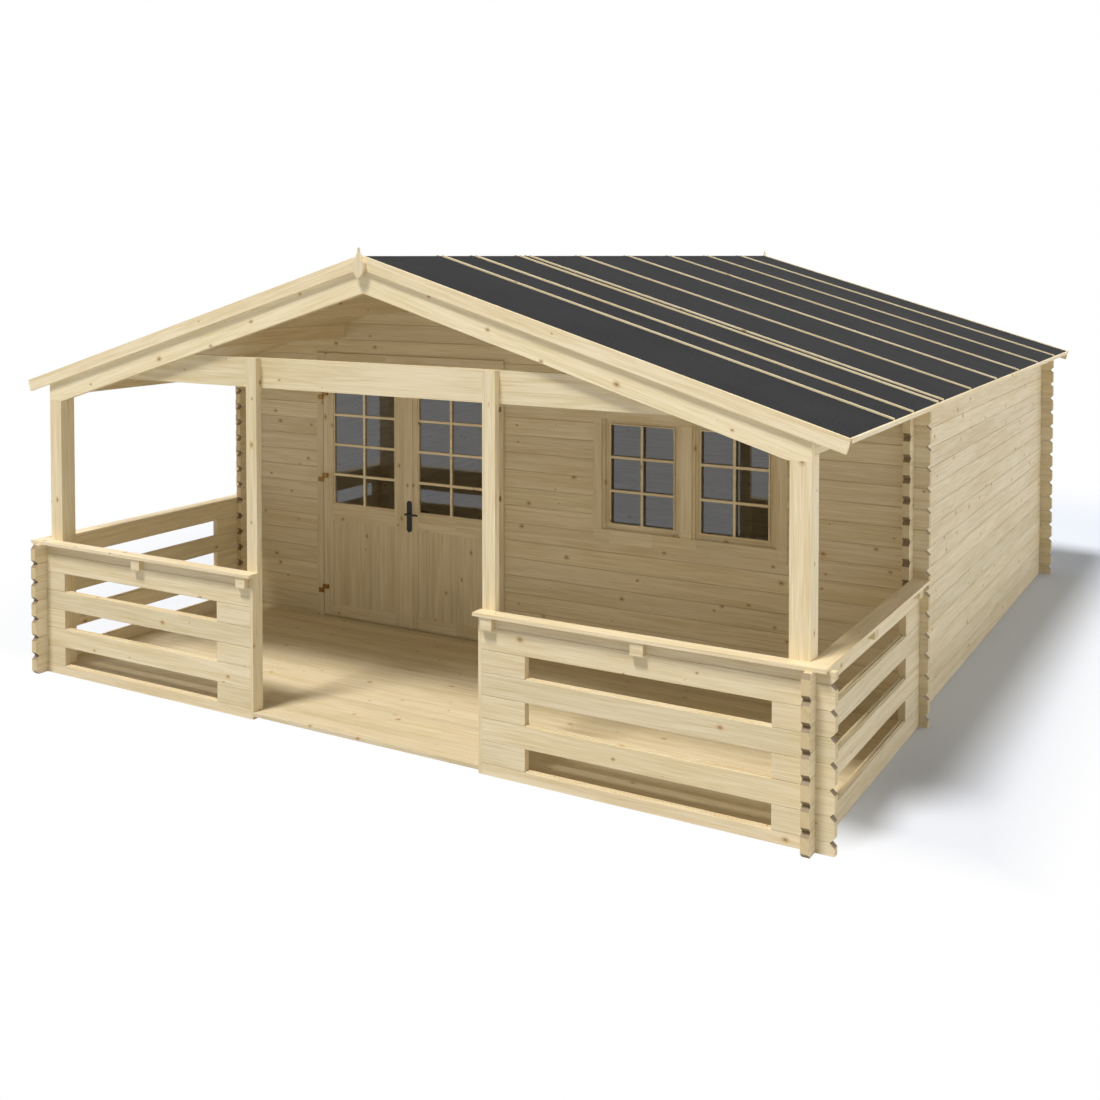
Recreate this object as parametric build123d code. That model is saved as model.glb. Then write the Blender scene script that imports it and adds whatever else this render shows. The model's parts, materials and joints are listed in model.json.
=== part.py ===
from build123d import *
import math
import os

os.makedirs("parts", exist_ok=True)

# Log cabin with a railed porch, front to -Y, millimetres, origin at ground level

# Wall logs
course = 130.0
log_thick = 44.0
log_end = 120.0
end_bevel = 25.0
joint_chamfer = 3.0
seat_gap = 0.4
notch_share = 0.25

# Plan
wall_half = 2762.0
porch_depth = 1992.0
room_depth = 4529.0
rail_courses = 7
wall_courses = 15

# Roof
roof_pitch = 16.6
wall_plate_tall = 139.0
eave_overhang = 206.0
rear_overhang = 185.0
deck_thick = 19.0
felt_thick = 4.0
batten_wide = 18.0
batten_thick = 10.0
batten_pitch = 828.0
rear_batten_setback = 704.0
cabin_batten_count = 5
porch_batten_shares = (0.416, 0.614, 0.902, 0.969)
eave_trim_thick = 16.0
eave_trim_tall = 24.0
barge_thick = 22.0
barge_tall = 80.0
barge_rise = 6.0
finial_thick = 22.0
finial_half = 46.0
finial_top = 50.0
finial_drop = 135.0
finial_shoulder = 42.0
finial_neck = 12.5

# Porch frame
rafter_thick = 44.0
rafter_tall = 197.0
rafter_drop = 27.0
corner_post = 113.0
entry_post_wide = 86.0
entry_post_thick = 44.0
beam_rise = 151.0
beam_tall = 190.0
beam_thick = 44.0
purlin_tall = 97.0
purlin_thick = 44.0
purlin_shares = (0.36, 0.628)

# Porch rails
rail_end = 850.0
end_board_thick = 22.0
rail_block = 206.0
inner_block = 286.0
rear_block = 345.0
cap_thick = 20.0
cap_reach = 67.0
side_cap_reach = 86.0
cap_overhang = 12.0
bracket_wide = 78.0
bracket_tall = 72.0
bracket_deep = 36.0
bracket_inset = 34.0
rear_bracket_inset = 66.0
mid_bracket_share = 0.518
side_bracket_share = 0.43

# Floor
floor_top = 46.0
floor_thick = 26.0
bearer_wide = 60.0
porch_bearers = 5
room_bearers = 7

# Double door
door_share = -0.4
leaf_wide = 813.0
leaf_thick = 40.0
run_gap = 5.0
jamb_thick = 38.0
sill_thick = 12.0
threshold_drop = 19.0
leaf_proud = 38.0
stop_reach = 14.0
trim_thick = 16.0
trim_wide = 65.0
door_head_tall = 168.0
stile = 98.0
meeting_stile = 106.0
top_rail = 80.0
glass_low = 956.0
panel_high = 826.0
panel_low = 152.0
panel_recess = 8.0
glass_thick = 4.0
hinge_offset = 10.0
hinge_radius = 5.0
hinge_tall = 34.0
hinge_arm = 46.0
hinge_plate = 3.0
hinge_shares = (0.105, 0.57, 0.913)
rod_sides = 8
finial_facets = 4
cover_wide = 62.0
cover_thick = 8.0
handle_height = 955.0
handle_backset = 34.0
plate_wide = 44.0
plate_tall = 240.0
plate_thick = 6.0
plate_corner = 13.0
plate_drop_share = 0.6
lever_radius = 8.0
lever_reach = 50.0
lever_long = 115.0

# Window
window_share = 0.4511
window_half = 665.0
window_first = 8
window_last = 14
frame_thick = 38.0
mullion_half = 60.0
sash_rail = 32.0
sash_thick = 30.0
sash_setback = 14.0
window_trim_wide = 66.0
window_trim_drop = 60.0
window_trim_lap = 15.0
window_head_drop = 95.0
mullion_trim_half = 41.0
sill_lap = 4.0
head_rail = 92.0

# Derived planes
slope = math.tan(math.radians(roof_pitch))
upright = 1 / math.cos(math.radians(roof_pitch))
lean = math.sin(math.radians(roof_pitch))
half_log = log_thick / 2
half_course = course / 2
depth = log_end + porch_depth + room_depth + rear_overhang + finial_thick
front_y = -depth / 2 + log_end
mid_y = front_y + porch_depth
back_y = mid_y + room_depth
roof_front = front_y
roof_back = back_y + rear_overhang
inner_x = wall_half - half_log - seat_gap
outer_x = wall_half + log_end
rail_half = wall_half + log_thick + seat_gap
rail_inner = rail_half - half_log - seat_gap
rail_outer = rail_half + log_end
rail_top = rail_courses * course
plate_low = wall_courses * course
gable_low = half_course + wall_courses * course
eave_half = wall_half + eave_overhang
ridge_under = plate_low + wall_plate_tall + slope * wall_half
ridge_height = ridge_under + (deck_thick + felt_thick) * upright + 2 * seat_gap
notch = course * notch_share
post_front = front_y + half_log + seat_gap
rafter_back = post_front + rafter_thick
beam_front = rafter_back + seat_gap
beam_low = plate_low + beam_rise
beam_high = beam_low + beam_tall
rafter_cut = plate_low - rafter_drop
door_centre = door_share * wall_half
window_centre = window_share * wall_half


def under(x):
    """Height of the roof's underside at a distance from the ridge."""
    return ridge_under - slope * abs(x)


def block(x0, x1, y0, y1, z0, z1):
    """Plain box between three pairs of planes."""
    centre = Pos((x0 + x1) / 2, (y0 + y1) / 2, (z0 + z1) / 2)
    return centre * Box(abs(x1 - x0), abs(y1 - y0), abs(z1 - z0))


def along_x(points, x0, x1):
    """Extrudes a (y, z) outline from x0 to x1."""
    face = make_face(Polyline(*[(x0, y, z) for y, z in points], close=True))
    return extrude(face, amount=x1 - x0, dir=(1, 0, 0))


def along_y(points, y0, y1):
    """Extrudes an (x, z) outline from y0 to y1."""
    face = make_face(Polyline(*[(x, y0, z) for x, z in points], close=True))
    return extrude(face, amount=y1 - y0, dir=(0, 1, 0))


def rod(start, direction, radius, length):
    """Round bar from a point along a direction, drawn with a few flat sides."""
    return extrude(Plane(start, z_dir=direction) * RegularPolygon(radius, rod_sides), amount=length)


def flip(shape):
    """Mirror image on the other side of the ridge line."""
    return mirror(shape, about=Plane.YZ)


def save(name, shapes):
    """Writes one node from its solids."""
    solids = [solid for shape in shapes for solid in shape.solids()]
    node = solids[0] if len(solids) == 1 else Compound(children=solids)
    export_step(node, f"parts/{name}.step")


def end_corner(u, z, inward, rise):
    """One corner of a log's end: bevelled, or square where the rise is 0."""
    if rise == 0:
        return [(u, z)]
    return [(u, z + rise), (u + inward, z)]


def log_outline(start, end, low, high, crossings, free_start, free_end, low_cut, high_cut):
    """Side view of a log with crossing notches and bevelled free ends."""
    half = half_log + seat_gap
    z0 = low + seat_gap / 2 if low > 0 else 0
    z1 = high - seat_gap / 2
    low_rise = end_bevel if low_cut else 0
    high_rise = end_bevel if high_cut else 0
    bottom = end_corner(start, z0, end_bevel, low_rise if free_start else 0)
    top = end_corner(start, z1, end_bevel, -high_rise if free_start else 0)
    for place in crossings:
        if low_cut:
            floor = z0 + notch
            bottom += [(place - half, z0), (place - half, floor), (place + half, floor), (place + half, z0)]
        if high_cut:
            floor = z1 - notch
            top += [(place - half, z1), (place - half, floor), (place + half, floor), (place + half, z1)]
    bottom += reversed(end_corner(end, z0, -end_bevel, low_rise if free_end else 0))
    top += reversed(end_corner(end, z1, -end_bevel, -high_rise if free_end else 0))
    return bottom + top[::-1]


def section(middle, low, high, low_cut, high_cut):
    """End view of a log, chamfered where it meets the next one."""
    left = middle - half_log
    right = middle + half_log
    points = end_corner(left, low, joint_chamfer, joint_chamfer if low_cut else 0)
    points += reversed(end_corner(right, low, -joint_chamfer, joint_chamfer if low_cut else 0))
    points += end_corner(right, high, -joint_chamfer, -joint_chamfer if high_cut else 0)
    points += reversed(end_corner(left, high, joint_chamfer, -joint_chamfer if high_cut else 0))
    return points


def side_log(index, middle, start, end, crossings, free_start, free_end):
    """One log of the right wall or rail, counted from the ground."""
    low = index * course
    high = low + course
    points = log_outline(start, end, low, high, crossings, free_start, free_end, True, True)
    log = along_x(points, middle - half_log, middle + half_log)
    return log & along_y(section(middle, low, high, True, True), start, end)


def cross_log(index, y, start, end, crossings, free_start, free_end, last=None):
    """One log across the cabin; the lowest one is half a log."""
    low = max(0, index * course - half_course)
    high = min(index * course + half_course, last or ridge_height)
    high_cut = high > index * course
    points = log_outline(start, end, low, high, crossings, free_start, free_end, index > 0, high_cut)
    log = along_y(points, y - half_log, y + half_log)
    return log & along_x(section(y, low, high, index > 0, high_cut), start, end)


# Floors on bearers
front_edge = front_y - half_log
porch_start = front_y + half_log + seat_gap
porch_end = mid_y - half_log - seat_gap
entry_half = rail_end - seat_gap
wall_front = mid_y - log_end
floor_step = wall_front - seat_gap
porch_outline = [
    (-rail_inner, porch_start),
    (-entry_half, porch_start),
    (-entry_half, front_edge),
    (entry_half, front_edge),
    (entry_half, porch_start),
    (rail_inner, porch_start),
    (rail_inner, floor_step),
    (inner_x, floor_step),
    (inner_x, porch_end),
    (-inner_x, porch_end),
    (-inner_x, floor_step),
    (-rail_inner, floor_step),
]
floor_low = floor_top - floor_thick
porch_face = make_face(Polyline(*[(x, y, floor_low) for x, y in porch_outline], close=True))
save("porch_floor", [extrude(porch_face, amount=floor_thick, dir=(0, 0, 1))])
room_start = mid_y + half_log + seat_gap
room_end = back_y - half_log - seat_gap
save("cabin_floor", [block(-inner_x, inner_x, room_start, room_end, floor_low, floor_top)])
bearers = []
for first, last, count in ((porch_start, porch_end, porch_bearers), (room_start, room_end, room_bearers)):
    step = (last - first - bearer_wide) / (count - 1)
    for place in range(count):
        start = first + place * step
        bearers.append(block(-inner_x, inner_x, start, start + bearer_wide, 0, floor_low - seat_gap))
save("floor_bearers", bearers)

# Side walls, and the porch's side rails that run along the outside of their ends
rail_start = front_y - log_end
rail_stop = mid_y - half_log - seat_gap
front_block = front_y + rail_block
rear_end = back_y + log_end
crossings = (mid_y, back_y)
side_logs = []
for index in range(wall_courses):
    side_logs.append(side_log(index, wall_half, wall_front, rear_end, crossings, True, True))
for index in range(rail_courses):
    if index % 2:
        side_logs.append(side_log(index, rail_half, rail_start, front_block, (front_y,), True, False))
        side_logs.append(side_log(index, rail_half, mid_y - rear_block, rail_stop, (), False, False))
    else:
        side_logs.append(side_log(index, rail_half, rail_start, rail_stop, (front_y,), True, False))
plate = log_outline(beam_front, rear_end, plate_low, ridge_height, crossings, False, False, True, False)
plate_log = along_x(plate, wall_half - half_log, wall_half + half_log)
plate_log &= along_y(section(wall_half, plate_low, ridge_height, True, False), beam_front, rear_end)
roof_space = [(0, 0), (eave_half, 0), (eave_half, under(eave_half)), (0, under(0))]
side_logs.append(plate_log & along_y(roof_space, rail_start, rear_end))
save("right_wall", side_logs)
save("left_wall", [flip(log) for log in side_logs])


# Purlins, and the gables that they pass through
def purlin_outline(x, grow):
    """Section of a purlin under the right slope, or of the ridge purlin."""
    left = x - purlin_thick / 2 - grow
    right = x + purlin_thick / 2 + grow
    low = under(right) - purlin_tall - grow
    outline = [(left, low), (right, low), (right, under(right) + grow)]
    if x == 0:
        outline.append((0, under(0) + grow))
    return outline + [(left, under(left) + grow)]


purlin_places = [0] + [share * wall_half for share in purlin_shares]
purlin_places += [-share * wall_half for share in purlin_shares]
purlin_front = beam_front
purlin_rear = roof_back - barge_thick - seat_gap
purlins = []
for place in purlin_places:
    purlin = along_y(purlin_outline(abs(place), 0), purlin_front, purlin_rear)
    purlins.append(purlin if place >= 0 else flip(purlin))
save("purlins", purlins)


def gable_log(index, y):
    """One log of a gable, cut to the roof and notched round the purlins."""
    low = index * course - half_course + seat_gap / 2
    high = index * course + half_course - seat_gap / 2
    right = [(min(inner_x, (ridge_under - low) / slope), low)]
    if right[0][0] == inner_x:
        right.append((inner_x, under(inner_x)))
    if high < ridge_under:
        right.append(((ridge_under - high) / slope, high))
    points = right + [(-x, z) for x, z in reversed(right)]
    if high >= ridge_under:
        points.insert(len(right), (0, ridge_under))
    log = along_y(points, y - half_log, y + half_log)
    log &= along_x(section(y, low, high, True, True), -inner_x, inner_x)
    for place in purlin_places:
        cutter = along_y(purlin_outline(abs(place), seat_gap), y - log_thick, y + log_thick)
        log = log - (cutter if place >= 0 else flip(cutter))
    return log


gable_first = wall_courses + 1
gable_count = math.ceil((ridge_under - gable_low) / course)
gable_indices = range(gable_first, gable_first + gable_count)
save("back_gable", [gable_log(index, back_y) for index in gable_indices])
save("front_gable", [gable_log(index, mid_y) for index in gable_indices])

# Back wall
corners = (-wall_half, wall_half)
full_indices = range(1, wall_courses + 1)
back_logs = [cross_log(0, back_y, -outer_x, outer_x, corners, True, True)]
back_logs += [cross_log(index, back_y, -outer_x, outer_x, corners, True, True) for index in full_indices]
save("back_wall", back_logs)

# Front wall, split beside the doorway and round the window
door_half = leaf_wide + run_gap * 3 / 2 + jamb_thick
door_left = door_centre - door_half - seat_gap
door_right = door_centre + door_half + seat_gap
window_left = window_centre - window_half - seat_gap
window_right = window_centre + window_half + seat_gap
threshold = half_course - threshold_drop
sill_log = cross_log(0, mid_y, -outer_x, outer_x, corners, True, True)
sill_log -= block(door_left, door_right, mid_y - half_log, mid_y + half_log, threshold, half_course)
save("door_sill_log", [sill_log])
left_end = (-wall_half,)
right_end = (wall_half,)
left_logs = [cross_log(index, mid_y, -outer_x, door_left, left_end, True, False) for index in full_indices]
save("front_wall_left", left_logs)
middle_logs = []
right_logs = []
for index in full_indices:
    if window_first <= index <= window_last:
        middle_logs.append(cross_log(index, mid_y, door_right, window_left, (), False, False))
        right_logs.append(cross_log(index, mid_y, window_right, outer_x, right_end, False, True))
    else:
        right_logs.append(cross_log(index, mid_y, door_right, outer_x, right_end, False, True))
save("front_wall_middle", middle_logs)
save("front_wall_right", right_logs)

# Front rails
rail_from = rail_end + end_board_thick + seat_gap
open_from = rail_from + inner_block
open_to = rail_half - rail_block
rail_corner = (rail_half,)
rail_logs = []
for index in range(rail_courses + 1):
    if index % 2 and index < rail_courses:
        rail_logs.append(cross_log(index, front_y, rail_from, open_from, (), False, False))
        rail_logs.append(cross_log(index, front_y, open_to, rail_outer, rail_corner, False, True))
    else:
        log = cross_log(index, front_y, rail_from, rail_outer, rail_corner, False, True, rail_top)
        rail_logs.append(log)
save("right_front_rail", rail_logs)
save("left_front_rail", [flip(log) for log in rail_logs])
board_back = front_y + half_log
end_board = block(rail_end, rail_end + end_board_thick, front_y - half_log, board_back, 0, rail_top)
save("rail_end_boards", [end_board, flip(end_board)])

# Rail caps on brackets
cap_low = rail_top + seat_gap
cap_high = cap_low + cap_thick
cap_outer = rail_half + side_cap_reach
cap_inner = rail_half - half_log
cap_from = rail_end - cap_overhang
front_cap = [
    (cap_from, front_y - cap_reach),
    (cap_outer - seat_gap, front_y - cap_reach),
    (cap_inner - seat_gap, front_y + half_log),
    (cap_from, front_y + half_log),
]
side_cap = [
    (cap_outer, front_y - cap_reach),
    (cap_outer, rail_stop),
    (cap_inner, rail_stop),
    (cap_inner, front_y + half_log),
]
caps = []
for outline in (front_cap, side_cap):
    face = make_face(Polyline(*[(x, y, cap_low) for x, y in outline], close=True))
    caps.append(extrude(face, amount=cap_thick, dir=(0, 0, 1)))
save("right_rail_caps", caps)
save("left_rail_caps", [flip(cap) for cap in caps])
bracket_low = rail_top - bracket_tall
bracket_back = front_y - half_log - seat_gap
bracket_front = bracket_back - bracket_deep
brackets = []
mid_bracket = rail_end + (rail_half - rail_end) * mid_bracket_share - bracket_wide / 2
for left in (rail_end + bracket_inset, mid_bracket):
    brackets.append(block(left, left + bracket_wide, bracket_front, bracket_back, bracket_low, rail_top))
bracket_side = rail_half + half_log + seat_gap
side_reach = bracket_side + bracket_deep
side_bracket = front_y + porch_depth * side_bracket_share
for near in (side_bracket, rail_stop - rear_bracket_inset - bracket_wide):
    far = near + bracket_wide
    brackets.append(block(bracket_side, side_reach, near, far, bracket_low, rail_top))
save("cap_brackets", brackets + [flip(bracket) for bracket in brackets])

# Porch posts, tie beam and front rafters
post_inner = rail_inner - corner_post
post_low = floor_top + seat_gap
post_section = [
    (post_inner, post_low),
    (rail_inner, post_low),
    (rail_inner, under(rail_inner)),
    (post_inner, under(post_inner)),
]
post = along_y(post_section, post_front, post_front + corner_post)
post -= block(post_inner, rail_inner, post_front, beam_front, rafter_cut - seat_gap, ridge_height)
post -= block(inner_x, rail_inner, post_front, post_front + corner_post, plate_low - seat_gap, ridge_height)
save("corner_posts", [post, flip(post)])
entry_post = block(
    rail_end, rail_end + entry_post_wide, post_front, post_front + entry_post_thick, post_low, beam_high
)
save("entrance_posts", [entry_post, flip(entry_post)])
beam_end = post_inner - seat_gap
beam_shoulder = (ridge_under - beam_high) / slope
beam_right = [(beam_end, beam_low), (beam_end, under(beam_end)), (beam_shoulder, beam_high)]
beam_outline = beam_right + [(-x, z) for x, z in reversed(beam_right)]
save("tie_beam", [along_y(beam_outline, beam_front, beam_front + beam_thick)])
rafter_foot = (ridge_under - rafter_tall - rafter_cut) / slope
rafter_outline = [
    (seat_gap, ridge_under - rafter_tall),
    (rafter_foot, rafter_cut),
    (rail_inner, rafter_cut),
    (rail_inner, under(rail_inner)),
    (seat_gap, under(seat_gap)),
]
rafter = along_y(rafter_outline, post_front, rafter_back)
save("front_rafters", [rafter, flip(rafter)])

# Roof deck, felt and battens
deck_front = roof_front + barge_thick + seat_gap
deck_back = roof_back - barge_thick - seat_gap


def roof_layer(low, high, x0, x1, y0, y1):
    """A layer of the right slope between two heights above its underside."""
    points = [
        (x0, under(x0) + low * upright),
        (x1, under(x1) + low * upright),
        (x1, under(x1) + high * upright),
        (x0, under(x0) + high * upright),
    ]
    return along_y(points, y0, y1)


felt_low = deck_thick + seat_gap * 2
felt_high = felt_low + felt_thick
deck = roof_layer(seat_gap, seat_gap + deck_thick, seat_gap, eave_half, deck_front, deck_back)
felt = roof_layer(felt_low, felt_high, seat_gap, eave_half, deck_front, deck_back)
save("right_roof_deck", [deck])
save("left_roof_deck", [flip(deck)])
save("right_roof_felt", [felt])
save("left_roof_felt", [flip(felt)])
batten_places = [roof_back - rear_batten_setback - batten_pitch * step for step in range(cabin_batten_count)]
batten_places += [front_y + porch_depth * share for share in porch_batten_shares]
batten_low = felt_high + seat_gap
battens = []
for place in batten_places:
    batten_high = batten_low + batten_thick
    batten = roof_layer(batten_low, batten_high, batten_wide, eave_half, place, place + batten_wide)
    battens += [batten, flip(batten)]
save("roof_battens", battens)
trim_from = eave_half + seat_gap
trim_high = under(eave_half) + felt_high * upright
trim_to = trim_from + eave_trim_thick
trim = block(trim_from, trim_to, deck_front, deck_back, trim_high - eave_trim_tall, trim_high)
save("eave_trims", [trim, flip(trim)])

# Bargeboards and finials
barge_top = ridge_under + felt_high * upright + barge_rise
barge_end = eave_half + eave_trim_thick
barge_foot = barge_end - barge_tall * lean
barge_outline = [
    (seat_gap, barge_top - seat_gap * slope),
    (barge_end, barge_top - barge_end * slope),
    (barge_foot, barge_top - barge_end * slope - barge_tall / upright),
    (seat_gap, barge_top - barge_tall * upright - seat_gap * slope),
]
front_barge = along_y(barge_outline, roof_front, roof_front + barge_thick)
rear_barge = along_y(barge_outline, roof_back - barge_thick, roof_back)
save("bargeboards", [front_barge, flip(front_barge), rear_barge, flip(rear_barge)])


def finial(y0, y1):
    """Spade-shaped board over the apex of the bargeboards."""
    tip = (0, y0, ridge_height + finial_top)
    neck = (finial_neck, y0, ridge_height)
    shoulder = (finial_half, y0, ridge_height - finial_shoulder)
    foot = (0, y0, ridge_height - finial_drop)
    crown = ThreePointArc(tip, neck, shoulder)
    cheek_x = finial_half * math.cos(math.pi / 5)
    cheek = (cheek_x, y0, ridge_height - (finial_shoulder + finial_drop) / 2)
    skirt = ThreePointArc(shoulder, cheek, foot)
    outline = [arc @ (step / finial_facets) for arc in (crown, skirt) for step in range(finial_facets)]
    board = extrude(make_face(Polyline(*outline, foot, close=True)), amount=y1 - y0, dir=(0, 1, 0))
    return board + flip(board)


front_finial = finial(roof_front - finial_thick, roof_front - seat_gap)
save("finials", [front_finial, finial(roof_back + seat_gap, roof_back + finial_thick)])

# Door frame with a stop behind the leaves
frame_front = mid_y - half_log
frame_back = mid_y + half_log
sill_low = threshold + seat_gap
sill_top = sill_low + sill_thick
leaf_low = sill_top + run_gap
head_high = gable_low - seat_gap
leaf_high = head_high - jamb_thick / 2 - run_gap
clear_half = door_half - jamb_thick
outer_left = door_centre - door_half
outer_right = door_centre + door_half
leaf_front = mid_y - leaf_proud
leaf_back = leaf_front + leaf_thick
stop_front = leaf_back + run_gap
frame = block(outer_left, outer_right, frame_front, frame_back, sill_low, head_high)
frame -= block(
    door_centre - clear_half,
    door_centre + clear_half,
    frame_front,
    stop_front,
    sill_top,
    leaf_high + run_gap,
)
frame -= block(
    door_centre - clear_half + stop_reach,
    door_centre + clear_half - stop_reach,
    frame_front,
    frame_back,
    sill_top,
    leaf_high + run_gap - stop_reach,
)
save("door_frame", [frame])


def surround(left, right, low, high, inner_left, inner_right, inner_high, y0, y1):
    """Two upright trim boards with one across their tops."""
    boards = [block(left, inner_left, y0, y1, low, inner_high - seat_gap)]
    boards.append(block(inner_right, right, y0, y1, low, inner_high - seat_gap))
    boards.append(block(left, right, y0, y1, inner_high, high))
    return boards


trim_back = frame_front - seat_gap
trim_front = trim_back - trim_thick
trim_left = door_centre - clear_half - trim_wide
trim_right = door_centre + clear_half + trim_wide
head_low = leaf_high + run_gap
door_trims = surround(
    trim_left,
    trim_right,
    floor_top + seat_gap,
    head_low + door_head_tall,
    trim_left + trim_wide,
    trim_right - trim_wide,
    head_low,
    trim_front,
    trim_back,
)
save("door_trim", door_trims)

# Door leaves, glazed above and boarded below
leaf_left = door_centre - run_gap / 2 - leaf_wide
leaf_right = door_centre - run_gap / 2
glass_left = leaf_left + stile
glass_right = leaf_right - meeting_stile
glass_high = leaf_high - top_rail
leaf = block(leaf_left, leaf_right, leaf_front, leaf_back, leaf_low, leaf_high)
leaf -= block(glass_left, glass_right, leaf_front, leaf_back, glass_low, glass_high)
for panel_front, panel_back in (
    (leaf_front, leaf_front + panel_recess),
    (leaf_back - panel_recess, leaf_back),
):
    leaf -= block(glass_left, glass_right, panel_front, panel_back, panel_low, panel_high)


def across_door(shape):
    """Mirror image on the other side of the doorway's middle."""
    return mirror(shape, about=Plane.YZ.offset(door_centre))


leaf_middle = (leaf_front + leaf_back) / 2
glass = block(
    glass_left + seat_gap,
    glass_right - seat_gap,
    leaf_middle - glass_thick / 2,
    leaf_middle + glass_thick / 2,
    glass_low + seat_gap,
    glass_high - seat_gap,
)
save("left_door", [leaf])
cover_left = door_centre + run_gap / 2
cover = block(cover_left, cover_left + cover_wide, leaf_front - cover_thick, leaf_front, leaf_low, leaf_high)
save("right_door", [across_door(leaf) + cover])
save("left_door_glass", [glass])
save("right_door_glass", [across_door(glass)])

# Lift-off hinges: the upper half on the leaf, the lower half on the trim
axis_x = leaf_left - run_gap / 2
axis_y = leaf_front - hinge_offset
leaf_tall = leaf_high - leaf_low
leaf_hinges = []
frame_hinges = []
for share in hinge_shares:
    middle = leaf_low + leaf_tall * share
    knuckle = rod((axis_x, axis_y, middle + seat_gap), (0, 0, 1), hinge_radius, hinge_tall)
    arm_high = middle + seat_gap + hinge_tall
    arm_y = axis_y - hinge_plate / 2
    leg_y = leaf_front - seat_gap
    knuckle += block(axis_x, leaf_left + hinge_arm, arm_y, arm_y + hinge_plate, middle + seat_gap, arm_high)
    leg_x = leaf_left + hinge_arm - hinge_plate
    knuckle += block(leg_x, leaf_left + hinge_arm, arm_y, leg_y, middle + seat_gap, arm_high)
    leaf_hinges.append(knuckle)
    pin = rod((axis_x, axis_y, middle - hinge_tall), (0, 0, 1), hinge_radius, hinge_tall)
    pin += block(axis_x - hinge_arm, axis_x, arm_y, arm_y + hinge_plate, middle - hinge_tall, middle)
    foot_x = axis_x - hinge_arm
    pin += block(foot_x, foot_x + hinge_plate, arm_y, trim_front - seat_gap, middle - hinge_tall, middle)
    frame_hinges.append(pin)
save("left_door_hinges", leaf_hinges)
save("right_door_hinges", [across_door(hinge) for hinge in leaf_hinges])
save("hinge_pintles", frame_hinges + [across_door(hinge) for hinge in frame_hinges])

# Lever handle on both faces of the right leaf
handle_x = door_centre + run_gap / 2 + handle_backset
plate_low_z = handle_height - plate_tall * plate_drop_share
handles = []
for face_y, outward in ((leaf_front - cover_thick - seat_gap, -1), (leaf_back + seat_gap, 1)):
    plate_middle = (handle_x, face_y, plate_low_z + plate_tall / 2)
    plate_face = Plane(plate_middle, x_dir=(1, 0, 0), z_dir=(0, outward, 0))
    plate_outline = chamfer(Rectangle(plate_wide, plate_tall).vertices(), plate_corner)
    handle = extrude(plate_face * plate_outline, amount=plate_thick)
    neck_start = (handle_x, face_y, handle_height)
    handle += rod(neck_start, (0, outward, 0), lever_radius, lever_reach + lever_radius)
    lever_start = (handle_x - lever_radius, face_y + outward * lever_reach, handle_height)
    handle += rod(lever_start, (1, 0, 0), lever_radius, lever_long)
    handles.append(handle)
save("door_handles", handles)

# Fixed two-light window
window_low = window_first * course - half_course + seat_gap
window_high = window_last * course + half_course - seat_gap
window_frame = block(
    window_centre - window_half,
    window_centre + window_half,
    frame_front,
    frame_back,
    window_low,
    window_high,
)
light_low = window_low + frame_thick
light_high = window_high - head_rail
light_left = window_centre + mullion_half
light_right = window_centre + window_half - frame_thick
light = block(light_left, light_right, frame_front, frame_back, light_low, light_high)


def across_window(shape):
    """Mirror image on the other side of the window's mullion."""
    return mirror(shape, about=Plane.YZ.offset(window_centre))


save("window_frame", [window_frame - light - across_window(light)])
sash_front = frame_front + sash_setback
sash_back = sash_front + sash_thick
pane_middle = (sash_front + sash_back) / 2
pane_left = light_left + seat_gap + sash_rail
pane_right = light_right - seat_gap - sash_rail
pane_low = light_low + seat_gap + sash_rail
pane_high = light_high - seat_gap - sash_rail
sash = block(
    light_left + seat_gap,
    light_right - seat_gap,
    sash_front,
    sash_back,
    light_low + seat_gap,
    light_high - seat_gap,
)
sash -= block(pane_left, pane_right, sash_front, sash_back, pane_low, pane_high)
save("window_sashes", [sash, across_window(sash)])
pane = block(
    pane_left + seat_gap,
    pane_right - seat_gap,
    pane_middle - glass_thick / 2,
    pane_middle + glass_thick / 2,
    pane_low + seat_gap,
    pane_high - seat_gap,
)
save("window_glass", [pane, across_window(pane)])
window_inner = window_half - window_trim_lap
window_outer = window_inner + window_trim_wide
trim_low = window_low - window_trim_drop
trim_edge = window_high - window_head_drop
window_trims = surround(
    window_centre - window_outer,
    window_centre + window_outer,
    trim_low,
    window_high + window_trim_wide - window_trim_lap,
    window_centre - window_inner,
    window_centre + window_inner,
    trim_edge,
    trim_front,
    trim_back,
)
sill_left = window_centre - window_inner + seat_gap
sill_right = window_centre + window_inner - seat_gap
sill_edge = light_low - sill_lap
window_trims.append(block(sill_left, sill_right, trim_front, trim_back, trim_low, sill_edge))
mullion_left = window_centre - mullion_trim_half
mullion_right = window_centre + mullion_trim_half
mullion_low = sill_edge + seat_gap
mullion_high = trim_edge - seat_gap
window_trims.append(block(mullion_left, mullion_right, trim_front, trim_back, mullion_low, mullion_high))
save("window_trim", window_trims)
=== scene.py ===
import json
import math

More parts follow.
